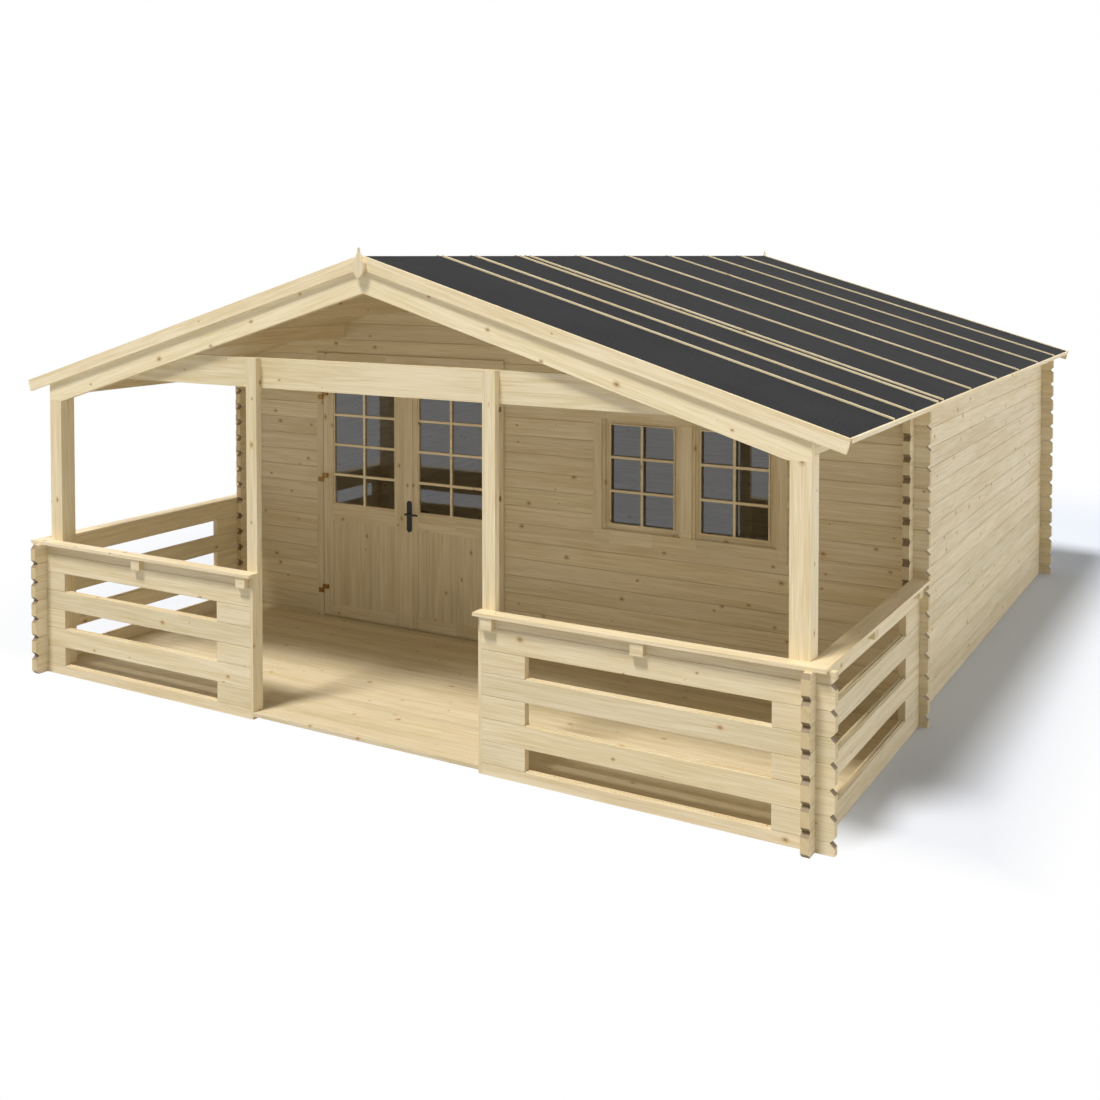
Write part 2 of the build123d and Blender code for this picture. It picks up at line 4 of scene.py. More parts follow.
import bpy
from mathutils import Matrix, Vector


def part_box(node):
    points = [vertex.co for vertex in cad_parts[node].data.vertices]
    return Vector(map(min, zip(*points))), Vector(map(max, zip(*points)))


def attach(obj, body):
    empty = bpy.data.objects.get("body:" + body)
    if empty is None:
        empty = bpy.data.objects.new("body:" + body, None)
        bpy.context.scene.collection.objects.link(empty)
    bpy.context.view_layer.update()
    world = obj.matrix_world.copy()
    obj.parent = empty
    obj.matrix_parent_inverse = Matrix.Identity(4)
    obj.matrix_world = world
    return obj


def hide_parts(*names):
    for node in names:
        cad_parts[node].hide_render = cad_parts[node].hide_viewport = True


bl_info = {
    "name": "Log Cabin Dressing",
    "version": (1, 0, 0),
    "blender": (4, 5, 0),
    "location": "View3D > Sidebar > Cabin",
    "description": "Floor and roof boards, glazing bars, finishes and a studio stage for a pine log cabin",
    "category": "Object",
}

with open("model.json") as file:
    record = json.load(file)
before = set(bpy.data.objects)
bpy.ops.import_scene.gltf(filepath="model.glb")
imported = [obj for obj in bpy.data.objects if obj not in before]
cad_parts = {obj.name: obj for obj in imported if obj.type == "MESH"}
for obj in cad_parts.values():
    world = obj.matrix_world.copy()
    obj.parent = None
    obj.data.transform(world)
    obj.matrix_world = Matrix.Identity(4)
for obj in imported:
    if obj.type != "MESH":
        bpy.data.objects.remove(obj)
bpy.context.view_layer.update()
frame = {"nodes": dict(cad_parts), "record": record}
nodes = frame["nodes"]


def planes(node, axis):
    """Places of a node's flat faces along one axis, from low to high."""
    return sorted({round(vertex.co[axis], 4) for vertex in nodes[node].data.vertices})


def linear(code):
    """Linear colour of an sRGB hex code."""
    parts = [int(code[place:place + 2], 16) / 255 for place in (1, 3, 5)]
    return tuple(part / 12.92 if part <= 0.04045 else ((part + 0.055) / 1.055) ** 2.4 for part in parts)


def length(name, description, default):
    """A size in metres that the sidebar shows."""
    return bpy.props.FloatProperty(
        name=name, description=description, default=default, unit="LENGTH", precision=4
    )


def number(name, description, default):
    """A count that the sidebar shows."""
    return bpy.props.IntProperty(name=name, description=description, default=default, min=1)


def tint(name, description, code):
    """A colour that the sidebar shows."""
    return bpy.props.FloatVectorProperty(
        name=name, description=description, default=linear(code), subtype="COLOR", size=3, min=0, max=1
    )


class CabinSizes(bpy.types.PropertyGroup):
    """Sizes of the boards, bars and patterns."""

    course: length("Log course", "Height of one wall log", 0.13)
    floor_board: length("Floor board", "Face width of a floor board", 0.0915)
    roof_board: length("Roof board", "Face width of a roof board", 0.0905)
    groove: length("Groove", "Open joint between two boards", 0.0006)
    chamfer: length("Chamfer", "Chamfer on the edges of a board", 0.0014)
    bar_wide: length("Bar width", "Face width of a glazing bar", 0.019)
    bar_deep: length("Bar depth", "Depth of a glazing bar in front of the glass", 0.012)
    bar_back: length("Inside bar depth", "Depth of a glazing bar behind the glass", 0.012)
    bar_stand: length("Bar stand-off", "Gap between the glass and the window's outside bars", 0.012)
    knot_apart: length("Knot spacing", "Distance between two knots along the grain", 0.40)
    knot_radius: length("Knot radius", "Radius of the largest knots", 0.011)
    seam_wide: length("Joint shade", "Height of the shade at the joint of two logs", 0.005)
    panel_low: length("Panel bottom", "Lower edge of the door's boarded panel", 0.152)
    panel_high: length("Panel top", "Upper edge of the door's boarded panel", 0.826)
    panel_board: length("Panel board", "Face width of a board in the door panel", 0.0746)
    panel_recess: length("Panel recess", "Depth of the panel behind the leaf's face", 0.008)
    panel_proud: length("Panel thickness", "How far the boards stand out of the recess", 0.005)
    tongue_wide: length("Tongue width", "Width of one tongue on top of a rail log", 0.008)
    tongue_tall: length("Tongue height", "Height of a tongue on top of a rail log", 0.006)
    tongue_apart: length("Tongue spacing", "Distance between the two tongues of a log", 0.020)
    tongue_sunk: length("Tongue foot", "How far a tongue reaches below the open gap", 0.0015)
    door_rows: number("Door panes high", "Panes in a leaf, bottom to top", 4)
    window_rows: number("Window panes high", "Panes in a sash, bottom to top", 3)
    columns: number("Panes wide", "Panes side by side in a leaf or sash", 2)
    pitch: bpy.props.FloatProperty(
        name="Roof pitch", description="Slope of the roof", default=math.radians(16.6), subtype="ANGLE"
    )


class CabinColours(bpy.types.PropertyGroup):
    """Colours of the finishes."""

    pine_pale: tint("Pale pine", "Spring wood of the planed spruce", "#EADCBB")
    pine_deep: tint("Deep pine", "Summer wood of the planed spruce", "#D5C295")
    pine_end: tint("End grain", "Sawn ends of the logs", "#CDB687")
    # Painted shade: a dark brown for the shadowed joints between logs and the bevels in the log ends'
    # V-notches.
    bevel: tint("Bevel", "Shade-painted bevels on the log ends", "#6E5434")
    knot: tint("Knot", "Heart of a knot", "#7B5530")
    halo: tint("Knot ring", "Resin-stained wood round a knot", "#C5A26A")
    felt: tint("Felt", "Bitumen felt under its grit", "#252526")
    grit: tint("Grit", "Mineral grit on the felt", "#343435")
    brass: tint("Brass", "Brass-toned hinges", "#97713A")
    black: tint("Black", "Lacquered door furniture", "#131416")
    pane: tint("Pane", "Faint tint of the float glass", "#ECEBEC")
    floor: tint("Studio floor", "Pale studio floor", "#DAE0EA")


def add(tree, kind, inputs=(), **settings):
    """Adds one shader node with its settings, values and links."""
    node = tree.nodes.new("ShaderNode" + kind)
    for name, value in settings.items():
        setattr(node, name, value)
    for socket, value in dict(inputs).items():
        if isinstance(value, bpy.types.NodeSocket):
            tree.links.new(value, node.inputs[socket])
        else:
            node.inputs[socket].default_value = value
    return node


def opaque(colour):
    """A colour with full alpha."""
    return (*colour, 1)


def new_material(name):
    """An empty material with its shader, ready for a pattern."""
    material = bpy.data.materials.new(name)
    material.use_nodes = True
    tree = material.node_tree
    tree.nodes.clear()
    shader = add(tree, "BsdfPrincipled")
    add(tree, "OutputMaterial", {"Surface": shader.outputs["BSDF"]})
    return material, tree, shader


# Sizes of the spruce's figure: metres along and across the grain, detail, distortion and share of the tone.
STREAK = (0.30, 0.006, 2.0, 0.0, 0.42)
BAND = (0.95, 0.034, 2.0, 0.6, 0.38)
DRIFT = (1.6, 0.30, 1.0, 0.0, 0.20)


# Planed Nordic spruce: pale cream, fine streaks along the grain, broad growth bands and small brown knots.
# Streaks are about 6 mm apart, bands 35 mm, and knots up to 24 mm across, about one to each 0.4 m of a log.
def spruce(name, grain, pieces, turned=None, bright=1.0):
    """Planed spruce with its grain along an axis or the roof's slope.

    pieces is (axis, pitch, offset) of the single logs or boards, so that each gets its own tone.
    turned is (axis, centre, half, grain) of a zone whose pieces run another way.
    bright is how pale the timber is beside the logs, and on the door bars a painted highlight.
    """
    sizes = bpy.context.scene.cabin_sizes
    colours = bpy.context.scene.cabin_colours
    material, tree, shader = new_material(name)
    place = add(tree, "TexCoord")
    axes = add(tree, "SeparateXYZ", {0: place.outputs["Object"]}).outputs
    letters = "XYZ"

    def direction(way):
        """Distances along and across the grain."""
        if way == "slope":
            level, steep = math.cos(sizes.pitch), math.sin(sizes.pitch)
            reach = add(tree, "Math", {0: axes[0]}, operation="ABSOLUTE").outputs[0]
            run = add(tree, "Math", {0: reach, 1: level}, operation="MULTIPLY").outputs[0]
            fall = add(tree, "Math", {0: axes[2], 1: -steep, 2: run}, operation="MULTIPLY_ADD")
            rise = add(tree, "Math", {0: axes[2], 1: level, 2: axes[1]}, operation="MULTIPLY_ADD").outputs[0]
            across = add(tree, "Math", {0: reach, 1: steep, 2: rise}, operation="MULTIPLY_ADD")
            return fall.outputs[0], across.outputs[0]
        others = [axes[letters.index(letter)] for letter in letters if letter != way]
        across = add(tree, "Math", {0: others[0], 1: others[1]}, operation="ADD")
        return axes[letters.index(way)], across.outputs[0]

    along, across = direction(grain)
    if turned:
        axis, centre, half, way = turned
        other_along, other_across = direction(way)
        place_on = axes[letters.index(axis)]
        offset = add(tree, "Math", {0: place_on, 1: centre}, operation="SUBTRACT").outputs[0]
        away = add(tree, "Math", {0: offset}, operation="ABSOLUTE").outputs[0]
        inside = add(tree, "Math", {0: away, 1: half}, operation="LESS_THAN").outputs[0]
        along = add(tree, "Mix", {0: inside, 2: along, 3: other_along}).outputs[0]
        across = add(tree, "Mix", {0: inside, 2: across, 3: other_across}).outputs[0]

    # Each log or board is cut from another part of the pattern and has its own tone.
    axis, pitch, start = pieces
    counted = add(tree, "Math", {0: axes[letters.index(axis)], 1: start}, operation="SUBTRACT").outputs[0]
    count = add(tree, "Math", {0: counted, 1: pitch}, operation="DIVIDE").outputs[0]
    rank = add(tree, "Math", {0: count}, operation="FLOOR").outputs[0]
    chance = add(tree, "TexWhiteNoise", {"W": rank}, noise_dimensions="1D").outputs
    slide, step = 7.0, 3.7
    slid = add(tree, "Math", {0: chance["Value"], 1: slide, 2: along}, operation="MULTIPLY_ADD").outputs[0]
    lane = add(tree, "Math", {0: rank, 1: step, 2: across}, operation="MULTIPLY_ADD").outputs[0]
    surface = add(tree, "CombineXYZ", {0: slid, 1: lane}).outputs[0]

    mixed = 0.0
    for along_size, across_size, detail, distortion, share in (STREAK, BAND, DRIFT):
        scale = (1 / along_size, 1 / across_size, 0)
        spread = add(tree, "VectorMath", {0: surface, 1: scale}, operation="MULTIPLY").outputs[0]
        figure = {"Vector": spread, "Scale": 1.0, "Detail": detail, "Roughness": 0.6}
        figure["Distortion"] = distortion
        noise = add(tree, "TexNoise", figure, noise_dimensions="2D").outputs[0]
        mixed = add(tree, "Math", {0: noise, 1: share, 2: mixed}, operation="MULTIPLY_ADD").outputs[0]
    tone = add(tree, "MapRange", {0: mixed, 1: 0.32, 2: 0.66}, interpolation_type="SMOOTHSTEP").outputs[0]
    woods = {0: tone, 6: opaque(colours.pine_deep), 7: opaque(colours.pine_pale)}
    wood = add(tree, "Mix", woods, data_type="RGBA").outputs[2]
    value = add(tree, "MapRange", {0: chance["Value"], 3: 0.95 * bright, 4: 1.04 * bright}).outputs[0]
    warm = add(tree, "SeparateColor", {0: chance["Color"]}).outputs[1]
    hue = add(tree, "MapRange", {0: warm, 3: 0.496, 4: 0.503}).outputs[0]
    toned = add(tree, "HueSaturation", {"Hue": hue, "Value": value, "Color": wood}).outputs[0]

    # Knots: one to each cell of the pattern, drawn longer along the grain. Many are too small to see.
    cells = (1 / sizes.knot_apart, 1 / sizes.course, 0)
    spread = add(tree, "VectorMath", {0: surface, 1: cells}, operation="MULTIPLY").outputs[0]
    knots = add(tree, "TexVoronoi", {"Vector": spread, "Scale": 1.0}, voronoi_dimensions="2D").outputs
    gap = add(tree, "VectorMath", {0: spread, 1: knots["Position"]}, operation="SUBTRACT").outputs[0]
    squeeze = 0.7
    oval = (sizes.knot_apart * squeeze, sizes.course, 0)
    real = add(tree, "VectorMath", {0: gap, 1: oval}, operation="MULTIPLY").outputs[0]
    far = add(tree, "VectorMath", {0: real}, operation="LENGTH").outputs["Value"]
    luck = add(tree, "SeparateColor", {0: knots["Color"]}).outputs[0]
    least = 0.0005
    radius = add(tree, "MapRange", {0: luck, 1: 0.4, 2: 1.0, 3: least, 4: sizes.knot_radius}).outputs[0]
    ratio = add(tree, "Math", {0: far, 1: radius}, operation="DIVIDE").outputs[0]
    heart = add(tree, "MapRange", {0: ratio, 1: 1.1, 2: 0.5}, interpolation_type="SMOOTHSTEP").outputs[0]
    halo = {0: ratio, 1: 2.6, 2: 0.9, 4: 0.6}
    ring = add(tree, "MapRange", halo, interpolation_type="SMOOTHSTEP").outputs[0]
    stained = add(tree, "Mix", {0: ring, 6: toned, 7: opaque(colours.halo)}, data_type="RGBA").outputs[2]
    hearts = add(tree, "Math", {0: heart, 1: 0.62}, operation="MULTIPLY").outputs[0]
    colour = add(tree, "Mix", {0: hearts, 6: stained, 7: opaque(colours.knot)}, data_type="RGBA").outputs[2]

    # Logs alone get a faint painted shade at their joints and painted shade on the bevels of their end
    # notches. Sawn ends are darker.
    logs = pitch == sizes.course
    facings = add(tree, "SeparateXYZ", {0: place.outputs["Normal"]}).outputs
    if logs:
        apart = add(tree, "Math", {0: count, 1: 0.5}, operation="PINGPONG").outputs[0]
        turn = add(tree, "Math", {0: facings[letters.index(axis)]}, operation="ABSOLUTE").outputs[0]
        lying = add(tree, "MapRange", {0: turn, 1: 0.95, 2: 0.85, 4: 0.16}).outputs[0]
        seam = {0: apart, 1: sizes.seam_wide / pitch, 2: sizes.seam_wide / pitch / 5, 4: lying}
        line = add(tree, "MapRange", seam, interpolation_type="SMOOTHSTEP").outputs[0]
        shaded = {0: line, 6: colour, 7: opaque(colours.bevel)}
        colour = add(tree, "Mix", shaded, data_type="RGBA").outputs[2]
    if grain in letters and not turned:
        ends = add(tree, "Math", {0: facings[letters.index(grain)]}, operation="ABSOLUTE").outputs[0]
        cut = add(tree, "MapRange", {0: ends, 1: 0.8, 2: 0.95, 4: 0.65}).outputs[0]
        sawn = {0: cut, 6: colour, 7: opaque(colours.pine_end)}
        colour = add(tree, "Mix", sawn, data_type="RGBA").outputs[2]
        if logs:
            # Painted shade: slanted faces, the bevels of the log-end notches, turn dark brown as if the V
            # between two log ends lay in shadow.
            slant = add(tree, "Math", {0: ends, 1: 0.7, 2: 0.25}, operation="COMPARE").outputs[0]
            notch_shade = add(tree, "Math", {0: slant, 1: 0.8}, operation="MULTIPLY").outputs[0]
            shaded_notch = {0: notch_shade, 6: colour, 7: opaque(colours.bevel)}
            colour = add(tree, "Mix", shaded_notch, data_type="RGBA").outputs[2]
    tree.links.new(colour, shader.inputs["Base Color"])
    gloss = add(tree, "MapRange", {0: mixed, 1: 0.3, 2: 0.7, 3: 0.66, 4: 0.54}).outputs[0]
    tree.links.new(gloss, shader.inputs["Roughness"])
    relief = add(tree, "Math", {0: heart, 1: -0.6, 2: mixed}, operation="MULTIPLY_ADD").outputs[0]
    bump = add(tree, "Bump", {"Strength": 0.25, "Distance": 0.0012, "Height": relief})
    tree.links.new(bump.outputs[0], shader.inputs["Normal"])
    return material


# Mineral bitumen felt: dark grey and dull, with cloudy wear. Its grit of 1 to 2 mm is drawn at 9 mm to show.
def roofing_felt():
    """Bitumen felt with grit pressed into it."""
    colours = bpy.context.scene.cabin_colours
    material, tree, shader = new_material("Mineral bitumen felt")
    place = add(tree, "TexCoord").outputs["Object"]
    grit = add(tree, "TexNoise", {"Vector": place, "Scale": 1 / 0.009, "Detail": 2.0}).outputs[0]
    cloud = add(tree, "TexNoise", {"Vector": place, "Scale": 1 / 0.6, "Detail": 3.0}).outputs[0]
    mixed = add(tree, "Math", {0: cloud, 1: 0.5, 2: grit}, operation="MULTIPLY_ADD").outputs[0]
    tone = add(tree, "MapRange", {0: mixed, 1: 0.5, 2: 1.0}).outputs[0]
    shade = {0: tone, 6: opaque(colours.felt), 7: opaque(colours.grit)}
    colour = add(tree, "Mix", shade, data_type="RGBA").outputs[2]
    tree.links.new(colour, shader.inputs["Base Color"])
    shader.inputs["Specular IOR Level"].default_value = 0.1
    rough = add(tree, "MapRange", {0: grit, 3: 0.95, 4: 0.8}).outputs[0]
    tree.links.new(rough, shader.inputs["Roughness"])
    bump = add(tree, "Bump", {"Strength": 0.4, "Distance": 0.002, "Height": grit})
    tree.links.new(bump.outputs[0], shader.inputs["Normal"])
    return material


# Float glass: clear and smooth, so it shows the pale studio faintly and the dark room behind it.
def float_glass():
    """Clear glass panes."""
    colours = bpy.context.scene.cabin_colours
    material, tree, shader = new_material("Clear float glass")
    shader.inputs["Base Color"].default_value = opaque(colours.pane)
    shader.inputs["Transmission Weight"].default_value = 1.0
    shader.inputs["IOR"].default_value = 1.66
    place = add(tree, "TexCoord").outputs["Object"]
    film = add(tree, "TexNoise", {"Vector": place, "Scale": 1 / 0.25, "Detail": 2.0}).outputs[0]
    haze = add(tree, "MapRange", {0: film, 3: 0.0, 4: 0.03}).outputs[0]
    tree.links.new(haze, shader.inputs["Roughness"])
    return material


# Brass-toned steel: rolled plate, so a soft sheen with darker tarnish in patches of about 15 mm.
def tarnished_brass():
    """Hinge metal."""
    colours = bpy.context.scene.cabin_colours
    material, tree, shader = new_material("Tarnished brass plate")
    shader.inputs["Metallic"].default_value = 1.0
    place = add(tree, "TexCoord").outputs["Object"]
    tarnish = add(tree, "TexNoise", {"Vector": place, "Scale": 1 / 0.015, "Detail": 3.0}).outputs[0]
    value = add(tree, "MapRange", {0: tarnish, 1: 0.3, 2: 0.7, 3: 0.7, 4: 1.05}).outputs[0]
    colour = add(tree, "HueSaturation", {"Value": value, "Color": opaque(colours.brass)}).outputs[0]
    tree.links.new(colour, shader.inputs["Base Color"])
    rough = add(tree, "MapRange", {0: tarnish, 3: 0.5, 4: 0.3}).outputs[0]
    tree.links.new(rough, shader.inputs["Roughness"])
    return material


# Black lacquer on cast metal: near black, satin, with a slight orange-peel of about 3 mm.
def black_lacquer():
    """Door furniture."""
    colours = bpy.context.scene.cabin_colours
    material, tree, shader = new_material("Black lacquered cast metal")
    shader.inputs["Base Color"].default_value = opaque(colours.black)
    place = add(tree, "TexCoord").outputs["Object"]
    peel = add(tree, "TexNoise", {"Vector": place, "Scale": 1 / 0.003, "Detail": 1.0}).outputs[0]
    rough = add(tree, "MapRange", {0: peel, 3: 0.32, 4: 0.45}).outputs[0]
    tree.links.new(rough, shader.inputs["Roughness"])
    bump = add(tree, "Bump", {"Strength": 0.1, "Distance": 0.0003, "Height": peel})
    tree.links.new(bump.outputs[0], shader.inputs["Normal"])
    return material


def finish(obj, material):
    """Gives an object one material."""
    obj.data.materials.clear()
    obj.data.materials.append(material)


def block(name, low, high):
    """Adds a box between two corners as a new object."""
    bpy.ops.object.select_all(action="DESELECT")
    low, high = Vector(low), Vector(high)
    bpy.ops.mesh.primitive_cube_add(size=1, location=(low + high) / 2, scale=high - low)
    obj = bpy.context.object
    obj.name = name
    bpy.ops.object.transform_apply(location=True, rotation=True, scale=True)
    return obj


def bevel_edges(obj, chosen, width):
    """Chamfers the edges whose two ends the test picks."""
    bpy.ops.object.mode_set(mode="EDIT")
    bpy.ops.mesh.select_all(action="DESELECT")
    bpy.ops.mesh.select_mode(type="EDGE")
    bpy.ops.object.mode_set(mode="OBJECT")
    for edge in obj.data.edges:
        edge.select = chosen(*[obj.data.vertices[end].co for end in edge.vertices])
    bpy.ops.object.mode_set(mode="EDIT")
    bpy.ops.mesh.bevel(offset=width, segments=1)
    bpy.ops.object.mode_set(mode="OBJECT")


def ease_top(obj, top, sizes):
    """Chamfers all the upper edges of a board."""
    under = top - sizes.chamfer / 10
    bevel_edges(obj, lambda a, b: min(a.z, b.z) > under, sizes.chamfer)


def repeat(obj, count, step):
    """Repeats an object in its own mesh at equal steps."""
    array = obj.modifiers.new("Row", "ARRAY")
    array.count = count
    array.use_relative_offset = False
    array.use_constant_offset = True
    array.constant_offset_displace = step
    bpy.ops.object.modifier_apply(modifier=array.name)


def join(objects, name):
    """Makes one object of several."""
    bpy.ops.object.select_all(action="DESELECT")
    for obj in objects:
        obj.select_set(True)
    bpy.context.view_layer.objects.active = objects[0]
    bpy.ops.object.join()
    objects[0].name = name
    return objects[0]


def floor_rows(name, low, high, sizes):
    """A floor of chamfered boards that run across the cabin."""
    count = max(1, round((high[1] - low[1]) / sizes.floor_board))
    pitch = (high[1] - low[1]) / count
    obj = block(name, low, (high[0], low[1] + pitch - sizes.groove, high[2]))
    under = high[2] - sizes.chamfer / 10
    bevel_edges(obj, lambda a, b: min(a.z, b.z) > under and abs(a.x - b.x) > sizes.groove, sizes.chamfer)
    repeat(obj, count, (0, pitch, 0))
    return obj, pitch


class CABIN_OT_porch_floor(bpy.types.Operator):
    """Lays the porch floor's boards, with one more between the rail ends"""

    bl_idname = "cabin.porch_floor"
    bl_label = "Porch Floor"

    def execute(self, context):
        sizes = context.scene.cabin_sizes
        low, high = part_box("porch_floor")
        front, start, step, back = planes("porch_floor", 1)
        entry, narrow, wide = [place for place in planes("porch_floor", 0) if place > 0]
        boards, pitch = floor_rows("porch_boards", (-wide, start, low.z), (wide, step, high.z), sizes)
        last = floor_rows("last_board", (-narrow, step, low.z), (narrow, back, high.z), sizes)[0]
        strip = block("entrance_board", (-entry, front, low.z), (entry, start - sizes.groove, high.z))
        ease_top(strip, high.z, sizes)
        floor = join([boards, last, strip], "porch_boards")
        finish(floor, spruce("Planed spruce, porch boards", "X", ("Y", pitch, start), bright=0.91))
        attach(floor, "cabin")
        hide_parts("porch_floor")
        return {"FINISHED"}


class CABIN_OT_rail_tongues(bpy.types.Operator):
    """Adds the logs' twin tongues, bare in the gaps of the porch rails"""

    bl_idname = "cabin.rail_tongues"
    bl_label = "Rail Tongues"

    def execute(self, context):
        sizes = context.scene.cabin_sizes
        openings = frame["record"]["physics"]["openings"]
        half = sizes.tongue_wide / 2
        tone_step = 0.26
        for way, grain, thin in (("side", "Y", 0), ("front", "X", 1)):
            ridges = []
            for gap in openings:
                if way not in gap["name"] or not gap["name"].endswith("_gap"):
                    continue
                for side in (-0.5, 0.5):
                    low, high = (Vector(corner) for corner in gap["box_m"])
                    middle = (low[thin] + high[thin]) / 2 + side * sizes.tongue_apart
                    low[thin], high[thin] = middle - half, middle + half
                    low.z -= sizes.tongue_sunk
                    high.z = low.z + sizes.tongue_tall
                    ridge = block("ridge", low, high)
                    ease_top(ridge, high.z, sizes)
                    ridges.append(ridge)
            tongues = join(ridges, way + "_rail_tongues")
            finish(tongues, spruce(f"Planed spruce, {way} rail tongues", grain, ("Z", tone_step, 0.0)))
            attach(tongues, "cabin")
        return {"FINISHED"}


class CABIN_OT_room_floor(bpy.types.Operator):
    """Lays the boards of the room's floor"""

    bl_idname = "cabin.room_floor"
    bl_label = "Room Floor"

    def execute(self, context):
        sizes = context.scene.cabin_sizes
        low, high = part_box("cabin_floor")
        floor, pitch = floor_rows("room_boards", low, high, sizes)
        finish(floor, spruce("Planed spruce, room boards", "X", ("Y", pitch, low.y)))
        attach(floor, "cabin")
        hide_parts("cabin_floor")
        return {"FINISHED"}


class CABIN_OT_roof_boards(bpy.types.Operator):
    """Lays the roof boards from ridge to eave, with chamfered joints below"""

    bl_idname = "cabin.roof_boards"
    bl_label = "Roof Boards"

    def execute(self, context):
        sizes = context.scene.cabin_sizes
        low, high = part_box("right_roof_deck")
        count = round((high.y - low.y) / sizes.roof_board)
        pitch = (high.y - low.y) / count
        lean = math.tan(sizes.pitch)
        upright = 1 / math.cos(sizes.pitch)
        run = (high.x - low.x) * upright
        rise = high.z - low.z - (high.x - low.x) * lean
        thick = rise / upright
        material = spruce("Planed spruce, roof boards", "slope", ("Y", pitch, low.y))
        under = sizes.chamfer / 10
        for side, name in ((1, "right"), (-1, "left")):
            start, end = (-thick, low.y, 0), (run + thick, low.y + pitch - sizes.groove, thick)
            boards = block(name + "_roof_boards", start, end)
            bevel_edges(boards, lambda a, b: max(a.z, b.z) < under and abs(a.x - b.x) > thick, sizes.chamfer)
            repeat(boards, count, (0, pitch, 0))
            turn = sizes.pitch if side > 0 else math.pi - sizes.pitch
            boards.rotation_euler = (0, turn, 0)
            boards.location = (side * low.x, 0, high.z - (rise if side > 0 else 0))
            bpy.ops.object.transform_apply(location=True, rotation=True, scale=True)
            # Plumb cuts at the ridge and the eave.
            bpy.ops.object.mode_set(mode="EDIT")
            for edge, outward in ((low.x, -side), (high.x, side)):
                bpy.ops.mesh.select_all(action="SELECT")
                bpy.ops.mesh.bisect(
                    plane_co=(side * edge, 0, 0),
                    plane_no=(outward, 0, 0),
                    use_fill=True,
                    clear_outer=True,
                )
            bpy.ops.object.mode_set(mode="OBJECT")
            finish(boards, material)
            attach(boards, "cabin")
            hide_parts(name + "_roof_deck")
        return {"FINISHED"}


def glazing(name, low, high, rows, face, sizes):
    """A flat lattice of glazing bars with its edge beads, at one depth in front of or behind a pane."""
    middle = ((low[0] + high[0]) / 2, face, (low[2] + high[2]) / 2)
    bpy.ops.object.select_all(action="DESELECT")
    bpy.ops.mesh.primitive_grid_add(
        x_subdivisions=sizes.columns,
        y_subdivisions=rows,
        size=1,
        location=middle,
        rotation=(math.pi / 2, 0, 0),
    )
    obj = bpy.context.object
    obj.name = name
    obj.scale = (high[0] - low[0], high[2] - low[2], 1)
    bpy.ops.object.transform_apply(location=True, rotation=True, scale=True)
    bpy.ops.object.mode_set(mode="EDIT")
    bpy.ops.mesh.select_mode(type="FACE")
    bpy.ops.mesh.select_all(action="SELECT")
    bpy.ops.mesh.inset(thickness=sizes.bar_wide / 2, use_individual=True)
    bpy.ops.mesh.delete(type="FACE")
    bpy.ops.object.mode_set(mode="OBJECT")
    return obj


def thicken(obj, depth, chamfer):
    """Gives a flat lattice its depth, to the front where it is positive, and chamfers its edges."""
    shell = obj.modifiers.new("Depth", "SOLIDIFY")
    shell.thickness = abs(depth)
    shell.offset = 1 if depth > 0 else -1
    bpy.ops.object.modifier_apply(modifier=shell.name)
    soft = obj.modifiers.new("Chamfer", "BEVEL")
    soft.width = chamfer
    soft.segments = 1
    soft.limit_method = "ANGLE"
    bpy.ops.object.modifier_apply(modifier=soft.name)


def bars_on_both_faces(name, low, high, rows, sizes, stand=0.0):
    """Glazing bars inside one pane and outside it, where they may stand off the glass."""
    outside = glazing(name, low, high, rows, low[1] - stand, sizes)
    thicken(outside, sizes.bar_deep, sizes.chamfer)
    inside = glazing(name + "_inside", low, high, rows, high[1], sizes)
    thicken(inside, -sizes.bar_back, sizes.chamfer)
    return join([outside, inside], name)


class CABIN_OT_door_bars(bpy.types.Operator):
    """Puts glazing bars on both faces of the door panes"""

    bl_idname = "cabin.door_bars"
    bl_label = "Door Bars"

    def execute(self, context):
        sizes = context.scene.cabin_sizes
        # Painted highlight: the door bars are drawn paler than their timber, standing in for the pale
        # reflection over them and their lit tops.
        material = spruce("Planed spruce, door bars", "X", ("X", 0.5, 0.0), bright=1.2)
        for side in ("left", "right"):
            low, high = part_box(side + "_door_glass")
            bars = bars_on_both_faces(side + "_door_bars", low, high, sizes.door_rows, sizes)
            finish(bars, material)
            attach(bars, side + "_leaf")
        return {"FINISHED"}


class CABIN_OT_door_panels(bpy.types.Operator):
    """Fills the lower panel of each leaf with upright boards on both faces"""

    bl_idname = "cabin.door_panels"
    bl_label = "Door Panels"

    def execute(self, context):
        sizes = context.scene.cabin_sizes
        # The closing strip stands out of the right leaf, so the left leaf gives the front face of both.
        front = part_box("left_door")[0].y + sizes.panel_recess
        for side in ("left", "right"):
            name = side + "_door_panel"
            low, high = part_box(side + "_door_glass")
            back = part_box(side + "_door")[1].y - sizes.panel_recess
            count = round((high.x - low.x) / sizes.panel_board)
            pitch = (high.x - low.x) / count
            rows = []
            for deep, shown in ((front, front - sizes.panel_proud), (back, back + sizes.panel_proud)):
                start = (low.x, min(deep, shown), sizes.panel_low)
                row = block(name, start, (low.x + pitch - sizes.groove, max(deep, shown), sizes.panel_high))

                def shown_edge(a, b, face=shown):
                    """True for an upright edge on the face that shows."""
                    upright = abs(a.z - b.z) > sizes.panel_board
                    return upright and max(abs(a.y - face), abs(b.y - face)) < sizes.chamfer

                bevel_edges(row, shown_edge, sizes.chamfer)
                repeat(row, count, (pitch, 0, 0))
                rows.append(row)
            panel = join(rows, name)
            boards = spruce(f"Planed spruce, {side} door panel", "Z", ("X", pitch, low.x), bright=0.93)
            finish(panel, boards)
            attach(panel, side + "_leaf")
        return {"FINISHED"}


